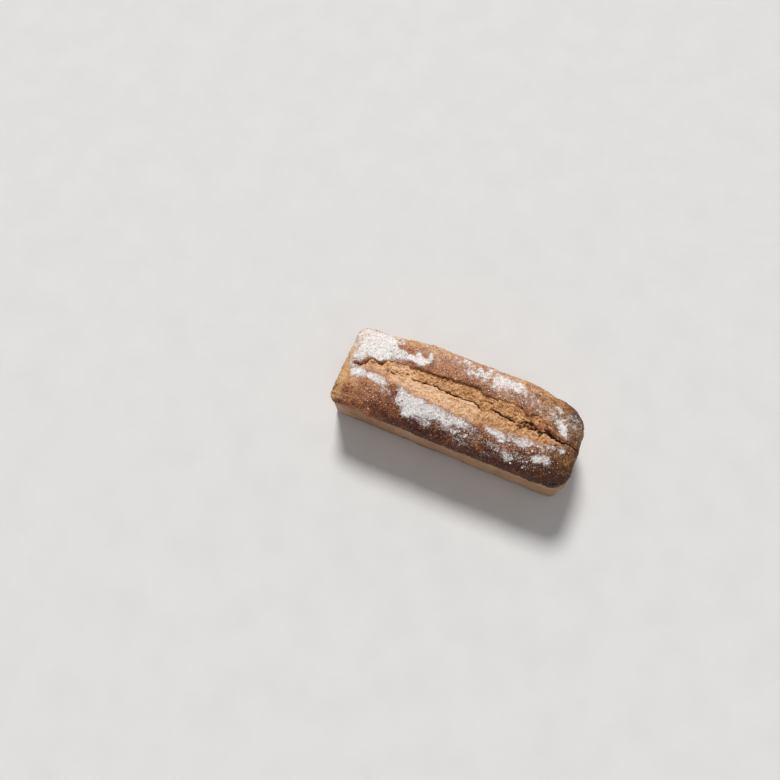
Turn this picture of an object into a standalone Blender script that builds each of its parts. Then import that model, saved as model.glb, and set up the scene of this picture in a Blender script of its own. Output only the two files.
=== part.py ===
"""A long tin loaf: straight sides and a flat underside from the tin, a domed crust that
spread over the rim, and a lengthwise split with a raised lip, a torn seam and open cracks.

The loaf lies along X, its split faces up, and the origin is at the middle of its underside.
"""
import math

import bmesh
import bpy
from mathutils import Vector, noise

# Tin part, in metres
BASE_LENGTH = 0.2965
BASE_WIDTH = 0.100
BASE_FILLET = 0.007
TIN_LEVEL = 0.054
SIDE_LEAN = 0.065
END_LEAN = 0.018
BACK_LEAN_AT_ENDS = -0.028
TIN_CORNERS = {"front_left": 0.009, "back_left": 0.012, "back_right": 0.026, "front_right": 0.011}

# Crown: the crust above the tin, widest at the rim level
HEIGHT = 0.089
RIM_LEVEL = 0.066
FRONT_SPREAD = 0.0032
BACK_SPREAD = 0.0020
BACK_BULGE_LEFT = (-0.120, -0.050)
BACK_BULGE_RIGHT = (0.070, 0.130)
CROWN_CORNERS = {"front_left": 0.010, "back_left": 0.013, "back_right": 0.035, "front_right": 0.025}
END_SQUARENESS = 8.0
SIDE_SQUARENESS = 2.5
ARCH_ROUNDNESS = 2.4

# Lines of the split on the top, as (x, y)
SEAM_LINE = [(-0.151, -0.004), (-0.050, -0.002), (-0.043, 0.000), (-0.032, 0.001), (-0.024, -0.0015),
             (0.005, -0.001), (0.014, 0.000), (0.029, -0.007), (0.038, -0.001), (0.052, -0.003),
             (0.074, -0.007), (0.084, -0.002), (0.096, -0.006), (0.108, -0.002), (0.120, -0.006),
             (0.151, -0.006)]
LIP_LINE = [(-0.151, -0.009), (-0.135, -0.007), (-0.128, -0.004), (-0.121, 0.004), (-0.103, 0.005),
            (-0.093, 0.010), (-0.068, 0.012), (-0.060, 0.015), (-0.020, 0.018), (0.003, 0.0205),
            (0.014, 0.019), (0.028, 0.013), (0.047, 0.016), (0.061, 0.017), (0.076, 0.011),
            (0.088, 0.013), (0.100, 0.008), (0.110, 0.002), (0.124, -0.002), (0.151, -0.003)]
CRUMB_FRONT_LINE = [(-0.151, -0.009), (-0.100, -0.011), (-0.060, -0.020), (0.020, -0.023),
                    (0.080, -0.020), (0.110, -0.014), (0.133, -0.008), (0.151, -0.009)]
CRUMB_FRONT_BLEND = 0.004
CRUMB_BACK_BLEND = 0.001
CRUMB_BEGINS = (-0.142, -0.125)
CRUMB_ENDS = (0.120, 0.140)

# Sizes of the split along its length, as (x, size)
CRACK_DEPTH = [(-0.064, 0.0), (-0.054, 0.004), (0.022, 0.0045), (0.030, 0.001), (0.037, 0.001),
               (0.044, 0.005), (0.068, 0.005), (0.082, 0.006), (0.100, 0.009), (0.126, 0.009),
               (0.138, 0.005), (0.151, 0.002)]
CRACK_HALF_WIDTH = [(-0.064, 0.0012), (0.068, 0.0014), (0.080, 0.0030), (0.124, 0.0030),
                    (0.136, 0.0012), (0.151, 0.0010)]
LIP_DROP = [(-0.142, 0.0), (-0.134, 0.0020), (-0.122, 0.0026), (-0.102, 0.0030), (-0.094, 0.0012),
            (-0.072, 0.0012), (-0.064, 0.0036), (0.012, 0.0036), (0.022, 0.0020), (0.070, 0.0016),
            (0.078, 0.0028), (0.126, 0.0022), (0.147, 0.0)]
LIP_CREST = [(-0.144, 0.0), (-0.130, 0.0012), (0.010, 0.0018), (0.034, 0.0008), (0.066, 0.0008),
             (0.080, 0.0016), (0.125, 0.0014), (0.148, 0.0)]
LIP_OVERHANG = 0.5
LIP_DROP_REACH = 0.007
LIP_CREST_REACH = 0.014
ROW_GAP = 0.0030
CREST_GAP = 0.0008

# Torn hollow in the seam
HOLLOW_CENTRE = (0.085, -0.002)
HOLLOW_RADII = (0.010, 0.005)
HOLLOW_DEPTH = 0.004

# Undercut where the crust cap sits on the tin side, at the right end and its front corner
UNDERCUT_LEVEL = 0.0615
UNDERCUT_HALF_HEIGHT = 0.003
UNDERCUT_DEPTH = 0.0020
UNDERCUT_START = 0.100
UNDERCUT_FADE_BACK = 0.04

# Uneven crust, as (how far it stands out, size of its lumps)
SWELL = (0.0009, 0.040)
LUMPS = (0.0006, 0.013)
CRAGS = (0.0011, 0.0065)
TIN_LUMPS = (0.0004, 0.016)
JAGGED = (0.0011, 0.007)

# Mesh: columns along the loaf, rows across it between the guide lines, rings down the side
COLUMNS = 84
ROW_SPANS = (16, 1, 1, 3, 1, 1, 12)
SIDE_RINGS = (UNDERCUT_LEVEL, 0.057, 0.040, 0.022, BASE_FILLET, 0.002, 0.0)
END_CROWDING = 0.085
END_CROWDING_POWER = 10

CRUST_COLOUR = (0.36, 0.16, 0.07, 1.0)
CRUST_ROUGHNESS = 0.8
SHARP_ANGLE = math.radians(50.0)


def smoothstep(start, end, value):
    """Rise smoothly from 0 at start to 1 at end."""
    t = min(1.0, max(0.0, (value - start) / (end - start)))
    return t * t * (3.0 - 2.0 * t)


def mix(low, high, share):
    return low + (high - low) * share


def along(points, x):
    """Read a line of (x, value) points at x, straight between neighbours."""
    if x <= points[0][0]:
        return points[0][1]
    for (x0, value0), (x1, value1) in zip(points, points[1:]):
        if x <= x1:
            return mix(value0, value1, (x - x0) / (x1 - x0))
    return points[-1][1]


def uneven(kind, point, salt):
    """Noise of one kind of lumps at a point; the salt keeps different uses apart."""
    height, size = kind
    return height * noise.noise(Vector(point) / size + Vector((salt, 0.37 * salt, -0.61 * salt)))


def jagged(line, x, salt):
    """A line of the split with its torn edge."""
    return along(line, x) + uneven(JAGGED, (x, 0.0, 0.0), salt)


def crown_share(z):
    """0 in the tin, 1 at the widest level of the crown."""
    return smoothstep(TIN_LEVEL, RIM_LEVEL, z)


def fillet_inset(z):
    """How far the rounded bottom edge lies inside the side at height z."""
    below = max(0.0, BASE_FILLET - z)
    return BASE_FILLET - math.sqrt(BASE_FILLET ** 2 - below ** 2)


def back_bulge(x):
    """1 along the middle of the loaf, where the back leans out and the crown bulges over it."""
    return smoothstep(*BACK_BULGE_LEFT, x) * (1.0 - smoothstep(*BACK_BULGE_RIGHT, x))


def half_length(z):
    return BASE_LENGTH / 2 + END_LEAN * z - fillet_inset(z)


def half_width(x, z, is_back):
    if is_back:
        lean = mix(BACK_LEAN_AT_ENDS, SIDE_LEAN, back_bulge(x))
        spread = BACK_SPREAD * back_bulge(x)
    else:
        lean = SIDE_LEAN
        spread = FRONT_SPREAD
    return BASE_WIDTH / 2 + lean * z + spread * crown_share(z) - fillet_inset(z)


def corner_radius(u, v, z):
    name = ("back" if v > 0 else "front") + ("_right" if u > 0 else "_left")
    return mix(TIN_CORNERS[name], CROWN_CORNERS[name], crown_share(z)) - fillet_inset(z)


def plan_point(u, v, z):
    """Place (u, v), each from -1 to 1, in the rounded outline that the loaf has at height z."""
    end = half_length(z)
    x = u * end
    side = half_width(x, z, v > 0)
    y = v * side
    radius = corner_radius(u, v, z)
    past_x = (abs(x) - (end - radius)) / radius
    past_y = (abs(y) - (side - radius)) / radius
    if past_x > 0 and past_y > 0:
        x = math.copysign(end - radius + radius * past_x * math.sqrt(1 - past_y ** 2 / 2), x)
        y = math.copysign(side - radius + radius * past_y * math.sqrt(1 - past_x ** 2 / 2), y)
    return x, y


def arch(t, squareness):
    """Cross profile of the crown: 1 in the middle, upright at the rim."""
    return max(0.0, 1.0 - abs(t) ** squareness) ** (1.0 / ARCH_ROUNDNESS)


def crown_point(u, v):
    """A point of the smooth crown, before the split and the unevenness."""
    x, y = plan_point(u, v, RIM_LEVEL)
    rise = (HEIGHT - RIM_LEVEL) * arch(u, END_SQUARENESS) * arch(v, SIDE_SQUARENESS)
    return Vector((x, y, RIM_LEVEL + rise))


def column_station(index):
    """The u of a column; columns crowd towards the ends, where the crown drops."""
    s = 2.0 * index / COLUMNS - 1.0
    return s * (1.0 + END_CROWDING * (1.0 - abs(s) ** END_CROWDING_POWER))


def row_stations(x):
    """The v of every row at x: shares of the way between the guide lines of the split."""
    seam = jagged(SEAM_LINE, x, 1.0)
    gap = along(CRACK_HALF_WIDTH, x)
    foot = max(jagged(LIP_LINE, x, 2.0), seam + gap + ROW_GAP)
    lines = [seam - gap, seam, seam + gap, foot - ROW_GAP / 2, foot, foot + CREST_GAP]
    guides = [-1.0] + [y / half_width(x, RIM_LEVEL, y > 0) for y in lines] + [1.0]
    stations = []
    for number, cells in enumerate(ROW_SPANS):
        for step in range(cells):
            share = step / cells
            if number == 0:
                share = 1.0 - math.cos(share * math.pi / 2)
            elif number == len(ROW_SPANS) - 1:
                share = math.sin(share * math.pi / 2)
            stations.append(mix(guides[number], guides[number + 1], share))
    return stations + [1.0]


def lip_row():
    """The number of the row at the foot of the lip; the next row is the lip's crest."""
    return sum(ROW_SPANS[:5])


def crumb_share(x, y):
    """1 on the torn crumb between its front edge and the lip, 0 on the crust."""
    front = along(CRUMB_FRONT_LINE, x)
    back = along(LIP_LINE, x)
    behind_front = smoothstep(front - CRUMB_FRONT_BLEND, front + CRUMB_FRONT_BLEND, y)
    before_lip = 1.0 - smoothstep(back - CRUMB_BACK_BLEND, back + CRUMB_BACK_BLEND, y)
    return behind_front * before_lip * smoothstep(*CRUMB_BEGINS, x) * (1.0 - smoothstep(*CRUMB_ENDS, x))


def split_relief(x, y, is_behind_lip):
    """How far the split moves the crown out (positive) or in (negative)."""
    seam = jagged(SEAM_LINE, x, 1.0)
    crack = max(0.0, 1.0 - abs(y - seam) / along(CRACK_HALF_WIDTH, x))
    relief = -along(CRACK_DEPTH, x) * crack
    lip = jagged(LIP_LINE, x, 2.0)
    if is_behind_lip:
        relief += along(LIP_CREST, x) * math.exp(-abs(y - lip) / LIP_CREST_REACH)
    else:
        relief -= along(LIP_DROP, x) * math.exp(-abs(y - lip) / LIP_DROP_REACH)
    away = math.hypot((x - HOLLOW_CENTRE[0]) / HOLLOW_RADII[0], (y - HOLLOW_CENTRE[1]) / HOLLOW_RADII[1])
    return relief - HOLLOW_DEPTH * math.exp(-away ** 2)


def crust_relief(point):
    """Unevenness of the crust, coarser on the torn crumb and slight on the tin sides."""
    x, y, z = point
    crown = crown_share(z)
    relief = uneven(SWELL, point, 3.0)
    relief += mix(uneven(TIN_LUMPS, point, 4.0), uneven(LUMPS, point, 5.0), crown)
    relief += crown * crumb_share(x, y) * uneven(CRAGS, point, 6.0)
    return relief * smoothstep(0.0, BASE_FILLET, z)


def undercut(point):
    """Depth of the groove under the crust cap around the right end."""
    x, y, z = point
    at_end = smoothstep(UNDERCUT_START, half_length(RIM_LEVEL), x)
    at_front = 1.0 - smoothstep(0.0, UNDERCUT_FADE_BACK, y)
    return UNDERCUT_DEPTH * at_end * at_front * max(0.0, 1.0 - abs(z - UNDERCUT_LEVEL) / UNDERCUT_HALF_HEIGHT)


def make_crown_sheet(sheet):
    """A grid laid over the crown, with its rows along the guide lines of the split."""
    rows = sum(ROW_SPANS)
    bmesh.ops.create_grid(sheet, x_segments=COLUMNS, y_segments=rows, size=1.0)
    square = sheet.verts.layers.float_vector.new("square")
    stations = {}
    for vert in sheet.verts:
        column = round((vert.co.x + 1.0) / 2 * COLUMNS)
        row = round((vert.co.y + 1.0) / 2 * rows)
        u = column_station(column)
        if column not in stations:
            stations[column] = row_stations(u * half_length(RIM_LEVEL))
        v = stations[column][row]
        vert[square] = Vector((u, v, row))
        vert.co = crown_point(u, v)
    return square


def make_sides(sheet, square):
    """Extrude the rim down ring by ring and close the underside with one flat face."""
    rim = [edge for edge in sheet.edges if edge.is_boundary]
    for z in SIDE_RINGS:
        made = bmesh.ops.extrude_edge_only(sheet, edges=rim)["geom"]
        for vert in [item for item in made if isinstance(item, bmesh.types.BMVert)]:
            u, v, _ = vert[square]
            vert.co = Vector((*plan_point(u, v, z), z))
        rim = [item for item in made if isinstance(item, bmesh.types.BMEdge) and item.is_boundary]
    bmesh.ops.edgeloop_fill(sheet, edges=rim)


def add_relief(body, square):
    """Move every point along its normal by the split, the lumps and the undercut."""
    body.normal_update()
    for vert in body.verts:
        point = vert.co.copy()
        relief = crust_relief(point) - undercut(point)
        if point.z > TIN_LEVEL:
            is_behind_lip = vert[square].z > lip_row()
            relief += crown_share(point.z) * split_relief(point.x, point.y, is_behind_lip)
            if is_behind_lip and vert[square].z == lip_row() + 1:
                vert.co.y -= LIP_OVERHANG * along(LIP_DROP, point.x)
        vert.co += vert.normal * relief


def centre_on_underside(body):
    """Put the origin at the middle of the box that holds the loaf, on its underside."""
    for axis in (0, 1):
        values = [vert.co[axis] for vert in body.verts]
        middle = (min(values) + max(values)) / 2
        for vert in body.verts:
            vert.co[axis] -= middle


def crust_material():
    material = bpy.data.materials.new("crust")
    material.use_nodes = True
    shader = material.node_tree.nodes["Principled BSDF"]
    shader.inputs["Base Color"].default_value = CRUST_COLOUR
    shader.inputs["Roughness"].default_value = CRUST_ROUGHNESS
    shader.inputs["Metallic"].default_value = 0.0
    return material


def make_loaf(collection):
    body = bmesh.new()
    square = make_crown_sheet(body)
    make_sides(body, square)
    bmesh.ops.recalc_face_normals(body, faces=body.faces)
    add_relief(body, square)
    centre_on_underside(body)
    bmesh.ops.triangulate(body, faces=body.faces)
    body.verts.layers.float_vector.remove(square)
    mesh = bpy.data.meshes.new("loaf")
    body.to_mesh(mesh)
    body.free()
    mesh.shade_smooth()
    mesh.set_sharp_from_angle(angle=SHARP_ANGLE)
    mesh.materials.append(crust_material())
    loaf = bpy.data.objects.new("loaf", mesh)
    collection.objects.link(loaf)
    return loaf


def main():
    for item in list(bpy.data.objects):
        bpy.data.objects.remove(item, do_unlink=True)
    collection = bpy.data.collections.new("tin_loaf")
    bpy.context.scene.collection.children.link(collection)
    make_loaf(collection)


main()
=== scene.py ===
"""The looks of a long floured tin loaf: its fine crust, torn split, flour and crumbs."""
import math

import bmesh
import bpy
import numpy as np
from mathutils import Matrix, Vector, noise


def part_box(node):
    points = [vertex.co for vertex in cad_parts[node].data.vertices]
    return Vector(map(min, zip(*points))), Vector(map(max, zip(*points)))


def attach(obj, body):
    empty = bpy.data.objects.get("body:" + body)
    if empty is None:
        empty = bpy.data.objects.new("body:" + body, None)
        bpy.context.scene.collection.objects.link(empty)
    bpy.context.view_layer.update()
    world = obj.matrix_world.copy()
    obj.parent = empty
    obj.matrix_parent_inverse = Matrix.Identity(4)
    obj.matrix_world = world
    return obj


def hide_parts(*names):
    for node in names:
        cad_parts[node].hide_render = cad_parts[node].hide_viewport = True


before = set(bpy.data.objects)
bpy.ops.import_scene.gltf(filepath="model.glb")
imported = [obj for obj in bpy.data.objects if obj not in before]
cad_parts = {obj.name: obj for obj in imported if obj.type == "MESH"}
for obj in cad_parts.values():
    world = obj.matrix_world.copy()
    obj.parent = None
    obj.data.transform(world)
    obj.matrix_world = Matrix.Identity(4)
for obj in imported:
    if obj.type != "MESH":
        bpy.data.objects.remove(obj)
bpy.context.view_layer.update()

# Tin part, in metres, as in the solid
BASE_LENGTH = 0.2965
BASE_WIDTH = 0.1
BASE_FILLET = 0.007
TIN_LEVEL = 0.054
SIDE_LEAN = 0.065
END_LEAN = 0.018
BACK_LEAN_AT_ENDS = -0.028
TIN_CORNERS = {"front_left": 0.009, "back_left": 0.012, "back_right": 0.026, "front_right": 0.011}

# Crown: the crust above the tin, widest at the rim level
HEIGHT = 0.089
RIM_LEVEL = 0.066
FRONT_SPREAD = 0.0032
BACK_SPREAD = 0.002
BACK_BULGE_LEFT = (-0.12, -0.05)
BACK_BULGE_RIGHT = (0.07, 0.13)
CROWN_CORNERS = {"front_left": 0.01, "back_left": 0.013, "back_right": 0.035, "front_right": 0.025}
END_SQUARENESS = 8.0
SIDE_SQUARENESS = 2.5
ARCH_ROUNDNESS = 2.4

# Noise is a tuple of how far it goes, the size of its lumps and a salt that keeps uses apart
SALT_SHIFT = (1.0, 0.37, -0.61)

# Lines of the split on the top, as (x, y), and how they are torn
SEAM_JAGS = ((0.0013, 0.006, 1), (0.0012, 0.0026, 1))
LIP_JAGS = ((0.0013, 0.006, 2), (0.0012, 0.0026, 2))
SEAM_LINE = [
    (-0.151, -0.004), (-0.06, -0.002), (-0.05, -0.002), (-0.044, 0.0002), (-0.032, 0.001),
    (-0.025, -0.0012), (-0.01, -0.0018), (0.005, -0.0008), (0.014, 0.0), (0.02, -0.002), (0.028, -0.007),
    (0.034, -0.005), (0.038, -0.001), (0.045, -0.001), (0.054, -0.003), (0.066, -0.004), (0.074, -0.003),
    (0.078, 0.0006), (0.09, 0.0006), (0.095, -0.003), (0.101, -0.0052), (0.106, -0.003), (0.112, -0.0032),
    (0.12, -0.0049), (0.127, -0.006), (0.1295, -0.0056), (0.1312, -0.0038), (0.135, -0.004),
    (0.141, -0.0048), (0.151, -0.0066),
]
LIP_LINE = [
    (-0.151, -0.009), (-0.135, -0.0058), (-0.129, -0.006), (-0.1225, -0.001), (-0.1195, 0.0048),
    (-0.112, 0.005), (-0.103, 0.005), (-0.099, 0.009), (-0.093, 0.01), (-0.085, 0.0115), (-0.068, 0.0135),
    (-0.06, 0.0158), (-0.05, 0.0148), (-0.038, 0.016), (-0.02, 0.018), (-0.005, 0.02), (0.012, 0.0205),
    (0.02, 0.0165), (0.03, 0.0135), (0.038, 0.014), (0.047, 0.016), (0.061, 0.0175), (0.07, 0.016),
    (0.0765, 0.0102), (0.0825, 0.0125), (0.0875, 0.014), (0.091, 0.0132), (0.0955, 0.0116), (0.1, 0.0092),
    (0.104, 0.0058), (0.108, 0.0018), (0.112, 0.0), (0.12, -0.0026), (0.127, -0.0038), (0.131, -0.0026),
    (0.151, -0.0052),
]
CRUMB_FRONT_LINE = [
    (-0.151, -0.008), (-0.125, -0.0075), (-0.097, -0.0095), (-0.085, -0.015), (-0.06, -0.019),
    (0.02, -0.022), (0.08, -0.019), (0.11, -0.0145), (0.121, -0.012), (0.133, -0.0075), (0.151, -0.009),
]

# Torn crumb: how it strays and blends at its edges, and where it begins and ends along the loaf
CRUMB_WANDER = (0.004, 0.012, 9)
CRUMB_FINE_WANDER = (0.0025, 0.004, 10)
CRUMB_FRONT_BLEND = 0.005
CRUMB_BEGINS = (-0.133, -0.121)
CRUMB_ENDS = (0.126, 0.138)

# The crumb fades into the crust behind it where the lip is low, and stops at a higher lip
CRUMB_BACK_BLENDS = (0.007, 0.0012)
SHARP_LIP_DROPS = (0.0006, 0.0018)
SHARP_LIP_STRETCH = (0.06, 0.0)

# Sizes of the split along its length, as (x, size)
CRACK_DEPTH = [
    (-0.064, 0.0), (-0.058, 0.003), (-0.05, 0.0045), (0.018, 0.0045), (0.029, 0.0024), (0.033, 0.0),
    (0.037, 0.0005), (0.041, 0.005), (0.062, 0.005), (0.069, 0.001), (0.076, 0.001), (0.079, 0.005),
    (0.09, 0.005), (0.095, 0.002), (0.102, 0.003), (0.108, 0.0065), (0.127, 0.0065), (0.131, 0.005),
    (0.141, 0.0042), (0.151, 0.0026),
]
CRACK_HALF_WIDTH = [
    (-0.064, 0.0007), (-0.045, 0.001), (0.015, 0.001), (0.029, 0.0007), (0.04, 0.001), (0.046, 0.0015),
    (0.062, 0.0014), (0.07, 0.001), (0.08, 0.0015), (0.091, 0.0013), (0.096, 0.001), (0.103, 0.0012),
    (0.107, 0.0036), (0.112, 0.0027), (0.12, 0.002), (0.127, 0.0019), (0.131, 0.0011), (0.141, 0.0009),
    (0.151, 0.0007),
]
LIP_DROP = [
    (-0.142, 0.0), (-0.13, 0.0003), (-0.127, 0.0014), (-0.122, 0.0018), (-0.115, 0.001), (-0.111, 0.0026),
    (-0.103, 0.003), (-0.098, 0.0006), (-0.074, 0.0004), (-0.068, 0.003), (-0.06, 0.0035), (-0.05, 0.003),
    (0.012, 0.0034), (0.018, 0.0022), (0.04, 0.0012), (0.068, 0.0012), (0.076, 0.0028), (0.087, 0.0022),
    (0.093, 0.0004), (0.104, 0.0006), (0.126, 0.0012), (0.147, 0.0),
]
LIP_CREST = [
    (-0.144, 0.0), (-0.13, 0.001), (-0.1, 0.0008), (-0.082, 0.0002), (-0.06, 0.0016), (0.01, 0.0018),
    (0.034, 0.001), (0.066, 0.0008), (0.08, 0.0016), (0.125, 0.0016), (0.148, 0.0),
]
CRACK_WIDTH_CHANGE = (0.5, 0.005, 3.1)
CRACK_STEEPNESS = 2.5
LIP_OVERHANG = 0.5
LIP_OVERHANG_REACH = 0.003
LIP_DROP_REACH = 0.007
LIP_CREST_REACH = 0.014
ROW_GAP = 0.0012
CREST_GAP = 0.0008

# Torn holes in the crumb: (x, y, half length, half width, depth)
HOLES = [
    (0.0856, -0.0029, 0.0092, 0.0046, 0.005), (0.0998, -0.0056, 0.0042, 0.0033, 0.0042),
    (0.0675, -0.0028, 0.0026, 0.0028, 0.0022), (0.0745, -0.0078, 0.0034, 0.0026, 0.003),
    (0.106, 0.0006, 0.0036, 0.002, 0.0044), (0.0945, 0.0066, 0.001, 0.0022, 0.002),
    (-0.1062, 0.003, 0.005, 0.0019, 0.0036), (-0.112, 0.0004, 0.002, 0.0012, 0.002),
    (-0.12, 0.004, 0.002, 0.0016, 0.0022), (-0.07, 0.0028, 0.0014, 0.0012, 0.003),
]
HOLE_RAGGED = (0.7, 0.0035, 26)
HOLE_EDGE = (0.65, 1.15)
HOLE_REACH = 2.0
BITS_IN_HOLES = (0.0046, 0.003, 5)
BITS_FULL_DEPTH = 0.005
HOLE_TORN = 0.45
HOLE_TORN_DEPTHS = (0.001, 0.004)

# Scraps of crust left on the crumb: (x, y, half length, half width, how much hides the crumb)
CRUST_SCRAPS = [
    (0.083, 0.008, 0.007, 0.0038, 0.75), (0.098, 0.0045, 0.006, 0.004, 0.8),
    (-0.0855, 0.0105, 0.0055, 0.0026, 0.85), (0.062, 0.012, 0.01, 0.003, 0.45),
    (-0.124, -0.0045, 0.003, 0.0022, 0.6), (0.03, 0.015, 0.01, 0.0022, 0.35),
]
SCRAP_EDGE = (0.5, 1.2)

# Small cracks beside the main ones: (points, depth, half width)
SMALL_CRACKS = [
    ([(0.0212, 0.0035), (0.0232, 0.0064), (0.029, 0.007), (0.0365, 0.0062)], 0.0026, 0.0011),
    ([(0.013, 0.0198), (0.019, 0.0192), (0.025, 0.0188), (0.032, 0.0202), (0.037, 0.018)], 0.0022, 0.001),
    ([(-0.136, -0.0068), (-0.1307, -0.0062), (-0.128, -0.0072), (-0.1262, -0.005), (-0.1231, -0.0034),
      (-0.1215, -0.0012)], 0.0044, 0.0016),
    ([(-0.1212, 0.0004), (-0.12, 0.003), (-0.1184, 0.0054)], 0.0028, 0.0012),
    ([(-0.0895, -0.0024), (-0.0865, -0.0036), (-0.0838, -0.004)], 0.0036, 0.0009),
    ([(-0.0842, -0.0012), (-0.0822, -0.0008), (-0.08, 0.003)], 0.003, 0.0009),
    ([(-0.0937, -0.0078), (-0.0922, -0.002), (-0.0912, 0.0022)], 0.0024, 0.0008),
    ([(-0.0787, -0.0012), (-0.073, -0.0036)], 0.0022, 0.0008),
    ([(-0.103, 0.008), (-0.0995, 0.0096)], 0.0022, 0.0013),
    ([(0.108, -0.015), (0.114, -0.0142), (0.1205, -0.0124), (0.13, -0.0085)], 0.0022, 0.001),
    ([(-0.104, 0.0452), (-0.098, 0.0462)], 0.0022, 0.0018),
    ([(0.04, -0.038), (0.048, -0.0362), (0.06, -0.037)], 0.0016, 0.0011),
    ([(0.06, -0.03), (0.068, -0.0312), (0.076, -0.03)], 0.0014, 0.0011),
    ([(0.118, -0.058), (0.128, -0.0565), (0.137, -0.051)], 0.0018, 0.001),
    ([(-0.06, -0.02), (-0.055, -0.0208)], 0.0018, 0.0014),
    ([(-0.014, -0.0085), (-0.0125, -0.0078)], 0.0016, 0.0012),
    ([(-0.0807, -0.0165), (-0.0765, -0.0182), (-0.0734, -0.0195)], 0.0026, 0.0009),
    ([(-0.051, -0.0552), (-0.045, -0.0546), (-0.038, -0.0536), (-0.029, -0.0532)], 0.0014, 0.0009),
    ([(-0.039, -0.0236), (-0.037, -0.024)], 0.0016, 0.001),
    ([(0.01, -0.0528), (0.018, -0.0536), (0.027, -0.053)], 0.0012, 0.0008),
]
SMALL_CRACK_WANDER = (0.0008, 0.003, 8)
SMALL_CRACK_MARGIN = 0.004

# The crack's run down the right end: how far it strays, and the heights where it fades
END_CRACK_WANDER = (0.0022, 0.007, 25)
END_CRACK_STRAYS = (0.082, 0.066)
END_CRACK_FADE = (0.057, 0.078)

# Undercut where the crust cap sits on the tin side, at the right end and its front corner
UNDERCUT_LEVEL = 0.0615
UNDERCUT_HALF_HEIGHT = 0.003
UNDERCUT_DEPTH = 0.002
UNDERCUT_START = 0.1
UNDERCUT_FADE_BACK = 0.04

# Painted shade, a darker colour in cracks, holes, under the lip and in the groove: depths where it begins and
# is full, and the shade under the lip
CRACK_SHADE = (0.0006, 0.0036)
HOLE_SHADE = (0.0034, 0.0086)
LIP_SHADE = 0.2
LIP_SHADE_CHANGE = (0.9, 0.004, 29)
LIP_SHADE_REACH = 0.001
FULL_SHADE_DROP = 0.004
UNDERCUT_SHADE = 0.8

# Values that the mesh gives its material at every point
SURFACE_VALUES = ("bake_and_shade", "golden", "crumb", "torn", "tin", "side", "flour", "dust", "painted_shade")

# Uneven crust and tin sides
SWELL = (0.0009, 0.04, 3)
LUMPS = (0.0011, 0.012, 5)
BLISTERS = (0.00085, 0.0044, 14)
PIMPLES = (0.00055, 0.0021, 15)
TIN_LUMPS = (0.0007, 0.016, 4)
RIDGE_MEAN = 0.6

# Uneven crumb: crags in two sizes, fibres and grit, and their (least, growth) where it is torn
CRAGS = (0.0014, 0.0055, 6)
FINER_CRAGS = (0.0007, 0.0055, 7)
FINER_CRAGS_SCALE = 2.1
FIBRES = (0.001, 0.0026, 13)
FIBRE_STRETCH = 0.25
FIBRE_BEND = (0.002, 0.01, 12)
CRUMB_GRIT = (0.0012, 0.0021, 27)
CRAG_GAIN = (0.4, 1.1)
GRIT_GAIN = (0.6, 0.8)

# Thickness of the flour
FLOUR_THICKNESS = 0.0003
FLOUR_GRIT = (0.0003, 0.0013, 24)

# How dark the crust is baked: across the loaf as (y, bake), and along each half as (x, change)
BAKE_ACROSS = [(-0.058, 0.93), (-0.05, 0.91), (-0.041, 0.87), (-0.026, 0.7), (0.0, 0.5), (0.02, 0.54),
               (0.03, 0.45), (0.04, 0.35), (0.058, 0.27)]
BAKE_ALONG_FRONT = [(-0.14, -0.34), (-0.1, -0.3), (-0.07, -0.09), (-0.045, 0.05), (-0.01, 0.04),
                    (0.01, 0.0), (0.06, 0.0), (0.085, 0.02), (0.115, 0.09), (0.15, 0.09)]
BAKE_ALONG_BACK = [(-0.06, -0.02), (-0.01, 0.04), (0.06, 0.1), (0.12, 0.1)]
BAKE_FRONT = (0.0, -0.03)
BAKE_BACK = (0.0, 0.02)
LEFT_END = (-0.134, -0.142)
LEFT_END_BAKE = 0.14
# Painted shade at the left end's front corner is this much stronger than at the right end
LEFT_CORNER_SHADE_GAIN = 1.6
RIGHT_END = (0.104, 0.132)
RIGHT_END_BAKE = 0.85
# Painted shade at the front corners of both ends: where across the loaf it begins and is full, and how much
# it darkens
END_FRONT = (-0.02, -0.05)
END_FRONT_SHADE = 0.16
END_WALL_BAKE = 0.36
END_WALL_SHARE = 0.6
BAKE_CLOUDS = (0.22, 0.028, 20)
BAKE_BLOTCHES = (0.22, 0.009, 21)

# Where the crust is golden rather than reddish, and how much
GOLDEN_BACK_RIGHT = 0.7
GOLDEN_BACK_RIGHT_FROM = (0.066, 0.092)
GOLDEN_BEHIND_SPLIT = (0.004, 0.014)
GOLDEN_LOW = 0.5
GOLDEN_BACK_EDGE = 0.6
GOLDEN_BACK_EDGE_FROM = (0.044, 0.056)

# Tin sides: tone by height, the height of the tin's edge along the loaf, and where crust begins
SIDE_TONE = [(0.0, 0.22), (0.006, 0.4), (0.02, 0.58), (0.05, 0.62), (0.066, 0.7)]
TIN_EDGE = [(-0.15, 0.052), (-0.138, 0.056), (-0.115, 0.0615), (-0.06, 0.064), (0.02, 0.0655),
            (0.11, 0.065), (0.15, 0.06)]
TIN_EDGE_SWAY = (0.003, 0.03, 22)
TIN_EDGE_WANDER = (0.0012, 0.006, 23)
TIN_EDGE_SPAN = 0.016
CRUST_FROM_TIN = (0.4, 0.6)

# How dark and torn the crumb looks, in front of the seam and behind it
TORN_IN_FRONT = [(-0.14, 0.4), (-0.095, 0.29), (-0.07, 0.15), (0.015, 0.25), (0.04, 0.56), (0.08, 0.54),
                 (0.12, 0.46)]
TORN_BEHIND = [(-0.14, 0.44), (-0.07, 0.3), (-0.045, 0.6), (0.02, 0.6), (0.12, 0.66)]
TORN_BLEND_IN_FRONT = 0.004
TORN_BLEND_BEHIND = 0.003

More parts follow.
